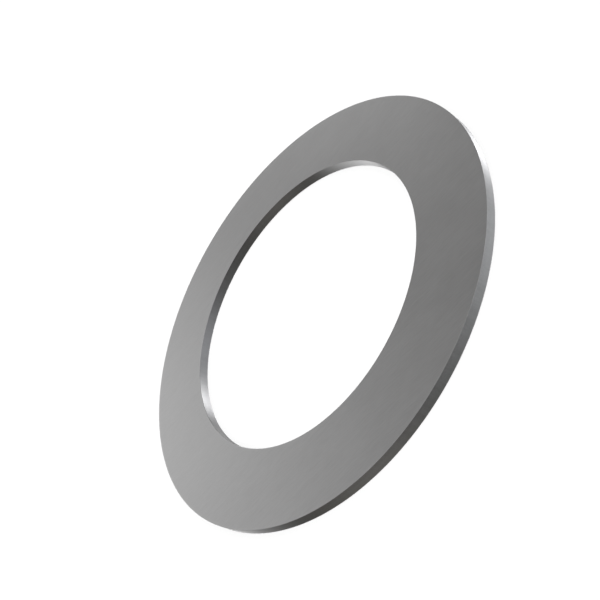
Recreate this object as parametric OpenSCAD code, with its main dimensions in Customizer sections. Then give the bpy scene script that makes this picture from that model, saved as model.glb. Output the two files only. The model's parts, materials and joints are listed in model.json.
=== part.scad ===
// Shim ring: a thin flat spacer that slips over a shaft and takes up end play
// between two shoulders. One piece of cold-rolled steel strip, punched and
// deburred, lying flat. All dimensions are in millimetres, +Z is the bore axis,
// and the origin is the bore's centre on the bottom face.

/* [Bore] */
// Diameter of the shaft that the ring slips over
shaft_d = 35; // [10:0.5:45]
// Play between the bore and that shaft, on the diameter
bore_play = 0.05; // [0:0.01:0.4]

/* [Ring] */
// Outer diameter of the ring
outer_d = 52; // [46:0.5:90]
// Thickness of the strip
thickness = 1.2; // [0.1:0.05:5]

/* [Edges] */
// Width and depth of the 45 degree break that deburring leaves on each edge
edge_break = 0.03; // [0.01:0.01:0.2]

/* [Finish] */
// Colour of the bare steel
steel = "#8f8f90"; // [#8f8f90:Satin grey, #b4b5b7:Bright, #6c6d6f:Dark]

/* [Hidden] */

// Steps that a full circle is drawn in; the true surfaces are round
$fn = 240;

// Bore radius, rim radius, and the width of the flat ring between them
bore_r = (shaft_d + bore_play) / 2;
rim_r = outer_d / 2;
land = rim_r - bore_r;

// The edge break never takes more than a quarter of the thickness or of the land
brk = min(edge_break, thickness / 4, land / 4);

// Half section of the ring, in the plane of radius and height: a flat rectangle
// whose four corners are each cut by one small break
module ring_section() {
    polygon([
        [bore_r + brk, 0],
        [rim_r - brk, 0],
        [rim_r, brk],
        [rim_r, thickness - brk],
        [rim_r - brk, thickness],
        [bore_r + brk, thickness],
        [bore_r, thickness - brk],
        [bore_r, brk]
    ]);
}

// The whole ring: the section turned once about the bore axis
module shim_ring() {
    color(steel)
        rotate_extrude()
            ring_section();
}

shim_ring();
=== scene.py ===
import json
import math

import bpy
import numpy as np
from mathutils import Matrix, Vector


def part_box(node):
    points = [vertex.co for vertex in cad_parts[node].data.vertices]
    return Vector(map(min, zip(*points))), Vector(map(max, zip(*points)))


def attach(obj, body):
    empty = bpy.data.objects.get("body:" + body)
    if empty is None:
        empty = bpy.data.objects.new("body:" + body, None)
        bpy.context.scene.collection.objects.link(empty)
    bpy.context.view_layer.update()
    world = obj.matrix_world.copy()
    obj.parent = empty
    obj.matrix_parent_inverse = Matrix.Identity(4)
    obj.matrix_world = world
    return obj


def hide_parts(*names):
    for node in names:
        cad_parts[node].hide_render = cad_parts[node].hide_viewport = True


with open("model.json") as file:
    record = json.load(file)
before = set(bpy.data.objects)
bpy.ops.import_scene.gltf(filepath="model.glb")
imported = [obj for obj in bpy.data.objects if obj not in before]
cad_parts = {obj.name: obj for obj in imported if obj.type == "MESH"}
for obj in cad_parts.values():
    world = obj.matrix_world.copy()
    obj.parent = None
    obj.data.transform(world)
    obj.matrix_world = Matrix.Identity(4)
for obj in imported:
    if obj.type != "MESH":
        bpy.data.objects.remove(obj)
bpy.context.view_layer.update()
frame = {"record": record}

# ---------------------------------------------------------------------------
# Sizes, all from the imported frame, in metres
# ---------------------------------------------------------------------------
low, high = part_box("shim_ring")
mounts = {m["name"]: m for m in frame["record"]["mounts"]}
RIM_R = mounts["rim"]["dims"]["r_mm"] / 1000
BORE_R = mounts["bore"]["dims"]["r_mm"] / 1000
WALL = mounts["bore"]["dims"]["length_mm"] / 1000
Z0, Z1 = low.z, high.z
BREAK = (Z1 - Z0 - WALL) / 2
MID = Vector((0.0, 0.0, (Z0 + Z1) / 2))
MM = 0.001

# ---------------------------------------------------------------------------
# Camera: 50 mm lens, aimed at the ring's centre from 33 degrees above the floor
# ---------------------------------------------------------------------------
ELEVATION, ROLL, DISTANCE = 33.185, -60.771, 3.61353 * RIM_R
e, q = math.radians(ELEVATION), math.radians(ROLL)
back = Vector((0, -math.cos(e), math.sin(e)))
level, rise = Vector((1, 0, 0)), Vector((0, math.sin(e), math.cos(e)))
right = level * math.cos(q) + rise * math.sin(q)
up = rise * math.cos(q) - level * math.sin(q)
cam_data = bpy.data.cameras.new("camera")
cam_data.lens, cam_data.sensor_width = 50.0, 36.0
cam_data.clip_start, cam_data.clip_end = 0.005, 20.0
cam = bpy.data.objects.new("camera", cam_data)
place = Matrix((right, up, back)).transposed().to_4x4()
place.translation = MID + back * DISTANCE
cam.matrix_world = place
bpy.context.scene.collection.objects.link(cam)
bpy.context.scene.camera = cam
bpy.context.scene.view_settings.view_transform = "Standard"


# ---------------------------------------------------------------------------
# Node helpers
# ---------------------------------------------------------------------------
class Tree:
    def __init__(self, nt):
        self.nt = nt
        nt.nodes.clear()

    def node(self, kind, **props):
        n = self.nt.nodes.new(kind)
        for k, v in props.items():
            setattr(n, k, v)
        return n

    def link(self, a, b):
        self.nt.links.new(a, b)

    def put(self, socket, value):
        if isinstance(value, bpy.types.NodeSocket):
            self.link(value, socket)
        else:
            socket.default_value = value

    def math(self, op, a, b=None, c=None, clamp=False):
        n = self.node("ShaderNodeMath", operation=op, use_clamp=clamp)
        for i, v in enumerate((a, b, c)):
            if v is not None:
                self.put(n.inputs[i], v)
        return n.outputs[0]

    def vmath(self, op, a, b=None, c=None):
        n = self.node("ShaderNodeVectorMath", operation=op)
        for i, v in enumerate((a, b, c)):
            if v is not None:
                self.put(n.inputs[i], v)
        return n.outputs["Value" if op in ("DOT_PRODUCT", "LENGTH") else "Vector"]

    def combine(self, x, y, z):
        n = self.node("ShaderNodeCombineXYZ")
        for s, v in zip(n.inputs, (x, y, z)):
            self.put(s, v)
        return n.outputs[0]

    def noise(self, vector, scale, detail=2.0, rough=0.5, distortion=0.0):
        n = self.node("ShaderNodeTexNoise", noise_dimensions="3D")
        self.put(n.inputs["Vector"], vector)
        self.put(n.inputs["Scale"], scale)
        self.put(n.inputs["Detail"], detail)
        self.put(n.inputs["Roughness"], rough)
        self.put(n.inputs["Distortion"], distortion)
        return n.outputs[0]

    def span(self, value, lo, hi, out_lo=0.0, out_hi=1.0, smooth=False):
        n = self.node("ShaderNodeMapRange", clamp=True)
        if smooth:
            n.interpolation_type = "SMOOTHSTEP"
        for i, v in enumerate((value, lo, hi, out_lo, out_hi)):
            self.put(n.inputs[i], v)
        return n.outputs[0]


# ---------------------------------------------------------------------------
# Studio: a white sweep for the camera and a ring of soft lights for the steel
# ---------------------------------------------------------------------------
# Each soft light: azimuth and elevation in degrees, tightness, strength, tint
PLAIN, WARM, COOL = (1.0, 1.0, 1.0), (1.05, 1.0, 0.92), (0.973, 1.0, 1.013)
COLD, ICE = (0.98, 1.0, 1.07), (1.0, 1.0, 1.02)
SOFT_LIGHTS = [
    (36.0, -35.5, 169.0, 3.81, ICE),
    (26.0, -30.5, 100.0, 1.63, PLAIN),
    (21.0, -75.0, 10.6, 3.04, COOL),
    (-20.5, 0.0, 8.4, 0.65, COLD),
    (-147.5, -42.0, 11.0, 0.13, WARM),
    (154.0, -29.0, 123.0, 0.53, PLAIN),
    (136.5, -29.5, 124.0, 1.0, PLAIN),
    (112.5, -40.5, 82.0, 3.56, PLAIN),
    (107.0, 20.5, 21.8, 1.02, PLAIN),
    (74.5, -31.0, 38.0, 0.46, PLAIN),
    (70.0, 13.0, 51.0, 1.6, PLAIN),
    (-75.0, 36.0, 7.0, 0.42, PLAIN),
    (-15.0, 40.0, 8.0, 0.28, PLAIN),
    (22.0, 60.0, 12.0, 0.34, PLAIN),
    (152.0, 27.0, 14.0, 0.42, PLAIN),
    (165.0, 64.0, 12.0, 0.26, PLAIN),
    (200.0, 36.0, 8.0, 0.36, PLAIN),
    (255.0, 74.0, 12.0, 0.55, PLAIN),
]
FILL, SKY = 0.04, 0.09

world = bpy.data.worlds.new("studio")
bpy.context.scene.world = world
world.use_nodes = True
t = Tree(world.node_tree)
way = t.node("ShaderNodeTexCoord").outputs["Generated"]
total = tuple(FILL * c for c in WARM)
for az, el, tight, strength, tint in SOFT_LIGHTS:
    a, h = math.radians(az), math.radians(el)
    mu = (math.cos(h) * math.cos(a), math.cos(h) * math.sin(a), math.sin(h))
    cosine = t.vmath("DOT_PRODUCT", way, mu)
    fall = t.math("EXPONENT", t.math("MULTIPLY_ADD", cosine, tight, -tight))
    total = t.vmath("MULTIPLY_ADD", fall, tuple(strength * c for c in tint), total)
sep = t.node("ShaderNodeSeparateXYZ")
t.link(way, sep.inputs[0])
sky = t.span(sep.outputs["Z"], -0.12, 0.40, 0.0, SKY, smooth=True)
total = t.vmath("ADD", total, sky)
soft = t.node("ShaderNodeBackground")
t.link(total, soft.inputs["Color"])
soft.inputs["Strength"].default_value = 1.0
sweep = t.node("ShaderNodeBackground")
sweep.inputs["Color"].default_value = (1, 1, 1, 1)
sweep.inputs["Strength"].default_value = 1.05
pick = t.node("ShaderNodeMixShader")
t.link(t.node("ShaderNodeLightPath").outputs["Is Camera Ray"], pick.inputs[0])
t.link(soft.outputs[0], pick.inputs[1])
t.link(sweep.outputs[0], pick.inputs[2])
t.link(pick.outputs[0], t.node("ShaderNodeOutputWorld").inputs["Surface"])

# A wide overhead light whitens the whole floor evenly. It doesn't show in the steel.
lamp = bpy.data.lights.new("overhead", "SUN")
lamp.angle = math.radians(3)
lamp.energy = 3.85
overhead = bpy.data.objects.new("overhead", lamp)
overhead.location = (0, 0, 1.0)
overhead.visible_glossy = False
bpy.context.scene.collection.objects.link(overhead)

# The floor: a plain pale disc
floor_mesh = bpy.data.meshes.new("floor")
around = 64
points = [
    (6.0 * math.cos(2 * math.pi * i / around), 6.0 * math.sin(2 * math.pi * i / around), 0.0)
    for i in range(around)
]
floor_mesh.from_pydata(points, [], [tuple(range(around))])
floor = bpy.data.objects.new("floor", floor_mesh)
floor.location.z = Z0 - 2e-6
bpy.context.scene.collection.objects.link(floor)
pale = bpy.data.materials.new("pale_floor")
pale.use_nodes = True
t = Tree(pale.node_tree)
matt = t.node("ShaderNodeBsdfDiffuse")
matt.inputs["Color"].default_value = (0.6, 0.6, 0.6, 1)
t.link(matt.outputs[0], t.node("ShaderNodeOutputMaterial").inputs["Surface"])
floor_mesh.materials.append(pale)
# The walls mirror the soft lights below the floor line, so the floor hides none of them
floor.visible_glossy = False
floor.visible_shadow = False


# ---------------------------------------------------------------------------
# Materials
# ---------------------------------------------------------------------------
def centred(t, value, gain):
    """Noise moved to sit about zero, times a gain."""
    return t.math("MULTIPLY_ADD", value, gain, -0.5 * gain)


def steel(name):
    m = bpy.data.materials.new(name)
    m.use_nodes = True
    t = Tree(m.node_tree)
    p = t.node("ShaderNodeBsdfPrincipled")
    p.inputs["Metallic"].default_value = 1.0
    t.link(p.outputs[0], t.node("ShaderNodeOutputMaterial").inputs["Surface"])
    at = t.node("ShaderNodeTexCoord").outputs["Object"]
    mm = t.vmath("MULTIPLY", at, (1000, 1000, 1000))
    sep = t.node("ShaderNodeSeparateXYZ")
    t.link(mm, sep.inputs[0])
    x, y, z = (sep.outputs[k] for k in "XYZ")
    r = t.math("SQRT", t.math("MULTIPLY_ADD", x, x, t.math("MULTIPLY", y, y)))
    return m, t, p, mm, x, y, z, r


def finish_steel(t, p, tone, rough, height, depth):
    """tone: base reflectance, rough: roughness, height times depth in metres: relief."""
    t.link(t.combine(tone, tone, t.math("MULTIPLY", tone, 1.006)), p.inputs["Base Color"])
    t.link(rough, p.inputs["Roughness"])
    bump = t.node("ShaderNodeBump")
    bump.inputs["Strength"].default_value = 1.0
    bump.inputs["Distance"].default_value = depth
    t.link(height, bump.inputs["Height"])
    t.link(bump.outputs[0], p.inputs["Normal"])


BASE, ROUGH = 0.549, 0.34


def steel_face():
    """Cold-rolled strip: straight rolling grain at three widths, soft mottling, and edges
    left a little smoother and brighter by deburring."""
    m, t, p, mm, x, y, z, r = steel("steel_face")
    turn = t.node("ShaderNodeVectorRotate", rotation_type="Z_AXIS")
    t.link(mm, turn.inputs["Vector"])
    turn.inputs["Angle"].default_value = math.radians(24)
    along = turn.outputs[0]
    fine = t.noise(t.vmath("MULTIPLY", along, (0.75, 17.0, 17.0)), 1.0, 2.0, 0.6)
    line = t.noise(t.vmath("MULTIPLY", along, (0.11, 2.9, 2.9)), 1.0, 3.0, 0.6)
    band = t.noise(t.vmath("MULTIPLY", along, (0.03, 0.62, 0.62)), 1.0, 2.0, 0.5)
    cloud = t.noise(t.vmath("MULTIPLY", mm, (0.13, 0.13, 0.13)), 1.0, 4.0, 0.55, 0.6)
    # distance to the nearer edge of the land, in millimetres
    edge = t.math("MINIMUM", t.math("SUBTRACT", RIM_R / MM, r), t.math("SUBTRACT", r, BORE_R / MM))
    worn = t.span(t.math("ADD", edge, centred(t, line, 0.25)), 0.04, 0.34, 1.0, 0.0, smooth=True)

    tone = t.math("ADD", centred(t, fine, 0.150), centred(t, line, 0.032))
    tone = t.math("ADD", tone, centred(t, band, 0.022))
    tone = t.math("ADD", tone, centred(t, cloud, 0.045))
    tone = t.math("MULTIPLY_ADD", worn, 0.012, tone)
    tone = t.math("ADD", tone, BASE)
    rough = t.math("ADD", centred(t, fine, 0.10), centred(t, line, 0.045))
    rough = t.math("ADD", rough, centred(t, cloud, 0.05))
    rough = t.math("MULTIPLY_ADD", worn, -0.025, rough)
    rough = t.math("ADD", rough, ROUGH)
    height = t.math("ADD", t.math("MULTIPLY", fine, 0.35), t.math("MULTIPLY", line, 0.7))
    finish_steel(t, p, tone, rough, height, 3.0e-6)
    return m


def steel_edge():
    """Punched walls: short marks across the thickness, a smoother sheared band over a duller
    broken one, and corners polished by deburring."""
    m, t, p, mm, x, y, z, r = steel("steel_edge")
    # marks run straight across the wall, so they're drawn on the direction from the axis
    cx, cy = t.math("DIVIDE", x, r), t.math("DIVIDE", y, r)

    def round_noise(per_turn, per_mm, detail, roughness):
        k = per_turn / (2 * math.pi)
        where = t.combine(t.math("MULTIPLY", cx, k), t.math("MULTIPLY", cy, k), t.math("MULTIPLY_ADD", z, per_mm, 7.3))
        return t.noise(where, 1.0, detail, roughness)

    mark = round_noise(620, 0.30, 3.0, 0.6)
    wide = round_noise(90, 0.15, 2.0, 0.5)
    grit = round_noise(900, 6.0, 2.0, 0.6)
    middle = (RIM_R + BORE_R) / 2 / MM
    on_rim = t.math("GREATER_THAN", r, middle)
    # height from the punched side: the bore is punched from above, the rim from below
    from_top = t.math("SUBTRACT", Z1 / MM, z)
    depth_in = t.math("MULTIPLY_ADD", on_rim, t.math("SUBTRACT", z, from_top), from_top)
    thick = (Z1 - Z0) / MM
    torn = t.span(t.math("ADD", depth_in, centred(t, mark, 0.5)), 0.50 * thick, 0.62 * thick, smooth=True)
    corner = t.math("MINIMUM", z, from_top)
    worn = t.span(t.math("ADD", corner, centred(t, grit, 0.08)), 0.05, 0.16, 1.0, 0.0, smooth=True)

    tone = t.math("ADD", centred(t, mark, 0.130), centred(t, wide, 0.045))
    tone = t.math("ADD", tone, t.math("MULTIPLY", torn, centred(t, grit, 0.160)))
    tone = t.math("MULTIPLY_ADD", worn, 0.016, tone)
    tone = t.math("MULTIPLY_ADD", torn, -0.018, tone)
    tone = t.math("ADD", tone, BASE + 0.008)
    rough = t.math("ADD", centred(t, mark, 0.08), t.math("MULTIPLY", torn, centred(t, grit, 0.12)))
    rough = t.math("MULTIPLY_ADD", torn, 0.022, rough)
    rough = t.math("MULTIPLY_ADD", worn, -0.03, rough)
    rough = t.math("ADD", rough, ROUGH - 0.010)
    height = t.math("MULTIPLY_ADD", t.math("MULTIPLY", torn, grit), 0.35, mark)
    finish_steel(t, p, tone, rough, height, 5.0e-6)
    return m


# ---------------------------------------------------------------------------
# The ring: one closed surface, turned from its section
# ---------------------------------------------------------------------------
AROUND = 720
CORNER_STEPS = 4
LAND_STEPS = 6


def ripple(theta, waves, seed):
    """A smooth value from about -1 to 1 that closes round the ring."""
    r = np.random.default_rng(seed)
    k = r.integers(waves[0], waves[1], 14)
    a, ph = r.normal(size=14), r.uniform(0, 2 * math.pi, 14)
    v = (a[:, None] * np.cos(k[:, None] * theta + ph[:, None])).sum(0)
    return v / np.abs(v).max()


def build_ring():
    theta = np.arange(AROUND) * 2 * math.pi / AROUND
    # corner: centre side of r (+1 outside the land, -1 inside), z side, start angle of its quarter turn
    rows = []  # each: radius, height, normal r, normal z, kind (0 flat, 1 wall or break)

    def corner(rim, top, seed, start, step):
        c = BREAK * (1 + 0.22 * ripple(theta, (3, 60), seed))
        for i in range(CORNER_STEPS + 1):
            w = start + step * i / CORNER_STEPS * math.pi / 2
            nr, nz = math.cos(w), math.sin(w)
            wall = RIM_R if rim else BORE_R
            side = 1 if rim else -1
            cr = wall - side * c
            cz = (Z1 - c) if top else (Z0 + c)
            rows.append((cr + nr * c, cz + nz * c, nr, nz))

    corner(True, False, 11, -math.pi / 2, 1)  # bottom face to rim
    corner(True, True, 12, 0.0, 1)  # rim to top face
    flat_top = len(rows)
    for i in range(1, LAND_STEPS):
        f = i / LAND_STEPS
        rows.append((np.full(AROUND, (RIM_R - BREAK) * (1 - f) + (BORE_R + BREAK) * f), np.full(AROUND, Z1), 0.0, 1.0))
    corner(False, True, 13, math.pi / 2, 1)  # top face to bore
    corner(False, False, 14, math.pi, 1)  # bore to bottom face
    for i in range(1, LAND_STEPS):
        f = i / LAND_STEPS
        rows.append((np.full(AROUND, (BORE_R + BREAK) * (1 - f) + (RIM_R - BREAK) * f), np.full(AROUND, Z0), 0.0, -1.0))
    n_rows = len(rows)
    co = np.zeros((n_rows, AROUND, 3))
    no = np.zeros((n_rows, AROUND, 3))
    for i, (r, z, nr, nz) in enumerate(rows):
        co[i] = np.stack([r * np.cos(theta), r * np.sin(theta), z], -1)
        no[i] = np.stack([nr * np.cos(theta), nr * np.sin(theta), np.full(AROUND, nz)], -1)
    faces, slots = [], []
    for i in range(n_rows):
        j = (i + 1) % n_rows
        flat = abs(rows[i][3]) > 0.999 and abs(rows[j][3]) > 0.999
        for k in range(AROUND):
            m = (k + 1) % AROUND
            faces.append((i * AROUND + k, i * AROUND + m, j * AROUND + m, j * AROUND + k))
            slots.append(0 if flat else 1)
    me = bpy.data.meshes.new("shim_ring_steel")
    me.from_pydata(co.reshape(-1, 3).tolist(), [], faces)
    me.materials.append(steel_face())
    me.materials.append(steel_edge())
    me.polygons.foreach_set("material_index", slots)
    me.polygons.foreach_set("use_smooth", [True] * len(faces))
    me.normals_split_custom_set_from_vertices(no.reshape(-1, 3).tolist())
    me.update()
    me.validate()
    ob = bpy.data.objects.new("shim_ring_steel", me)
    bpy.context.scene.collection.objects.link(ob)
    return ob


ring = build_ring()
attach(ring, "root")
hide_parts("shim_ring")
